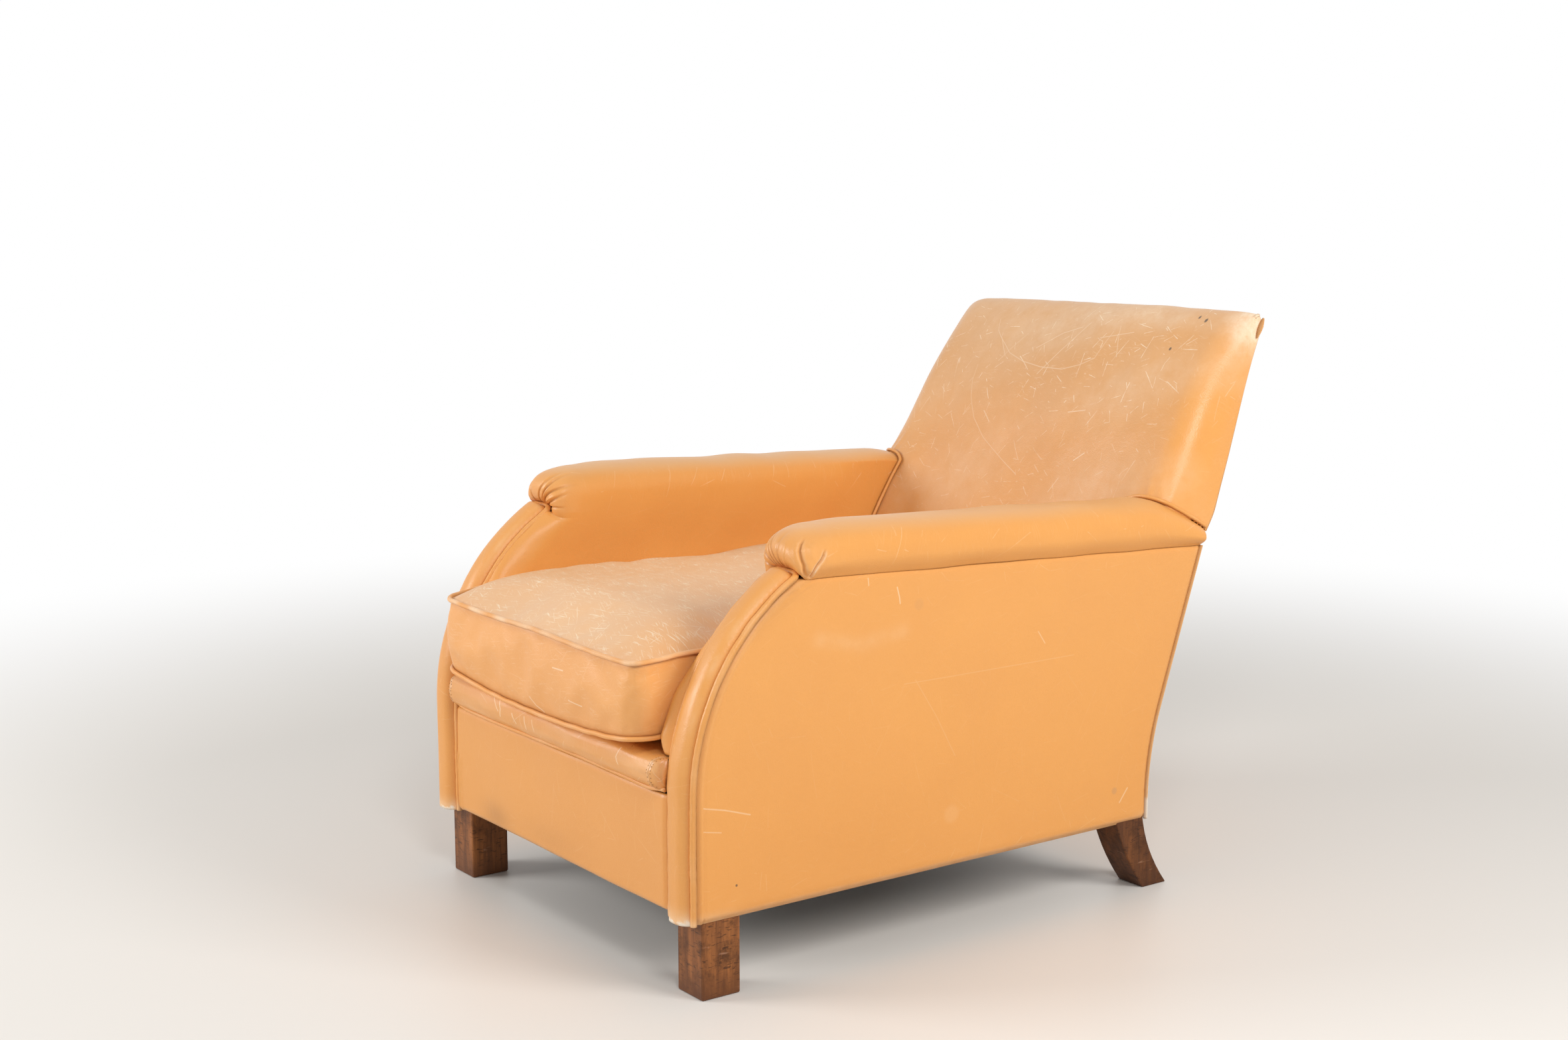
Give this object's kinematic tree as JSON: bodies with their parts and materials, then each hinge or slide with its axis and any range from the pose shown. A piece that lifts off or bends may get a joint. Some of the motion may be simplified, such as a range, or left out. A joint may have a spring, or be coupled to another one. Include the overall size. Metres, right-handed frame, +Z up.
{
  "type": "club chair",
  "caption": "Worn tan leather club chair with a low raked seat, curved arm fronts, a loose piped box cushion, a raked padded back and dark wooden legs.",
  "frame": {"origin": "on the floor, at the centre of the chair's outline seen from above", "axes": "+Z up, +X towards the sitter's left arm, +Y from the seat's front towards the back"},
  "size_m": [0.66, 0.9918, 0.771],
  "materials": {
    "tan_leather": "semi-gloss, rubbed pale at the edges, scratched",
    "seat_leather": "satin, rubbed pale, many fine scratches",
    "leg_wood": "dark stain and old wax, knocked and scratched",
    "frame_wood": "bare sawn beech",
    "jute": "coarse woven jute",
    "spring_wire": "dull drawn wire",
    "black_cloth": "matt black lining cloth"
  },
  "bodies": {
    "root": {"apron_piping": "tan_leather", "arm_facing_left": "tan_leather", "arm_facing_right": "tan_leather", "arm_pad_left": "tan_leather", "arm_pad_right": "tan_leather", "arm_rail_left": "frame_wood", "arm_rail_right": "frame_wood", "arm_tuck_rail_left": "frame_wood", "arm_tuck_rail_right": "frame_wood", "back_post_left": "frame_wood", "back_post_right": "frame_wood", "back_side_piping_left": "tan_leather", "back_side_piping_right": "tan_leather", "back_top_rail": "frame_wood", "back_tuck_rail": "frame_wood", "back_webbing": "jute", "corner_block_front_left": "frame_wood", "corner_block_front_right": "frame_wood", "corner_block_rear_left": "frame_wood", "corner_block_rear_right": "frame_wood", "cushion_piping_bottom": "seat_leather", "cushion_piping_top": "seat_leather", "dust_cover": "black_cloth", "facing_welt_left": "tan_leather", "facing_welt_right": "tan_leather", "front_apron": "tan_leather", "front_leg_left": "leg_wood", "front_leg_right": "leg_wood", "front_post_left": "frame_wood", "front_post_right": "frame_wood", "front_rail": "frame_wood", "inside_arm_left": "tan_leather", "inside_arm_right": "tan_leather", "inside_back": "seat_leather", "outside_arm_left": "tan_leather", "outside_arm_right": "tan_leather", "outside_back": "tan_leather", "rear_leg_left": "leg_wood", "rear_leg_right": "leg_wood", "rear_piping_left": "tan_leather", "rear_piping_right": "tan_leather", "rear_rail": "frame_wood", "seat_cushion": "seat_leather", "seat_deck": "tan_leather", "seat_front_roll": "tan_leather", "seat_spring_1": "spring_wire", "seat_spring_2": "spring_wire", "seat_spring_3": "spring_wire", "seat_spring_4": "spring_wire", "seat_spring_5": "spring_wire", "seat_spring_6": "spring_wire", "seat_spring_7": "spring_wire", "seat_spring_8": "spring_wire", "seat_spring_9": "spring_wire", "seat_webbing": "jute", "side_rail_left": "frame_wood", "side_rail_right": "frame_wood", "spring_hessian": "jute"}
  },
  "joints": []
}
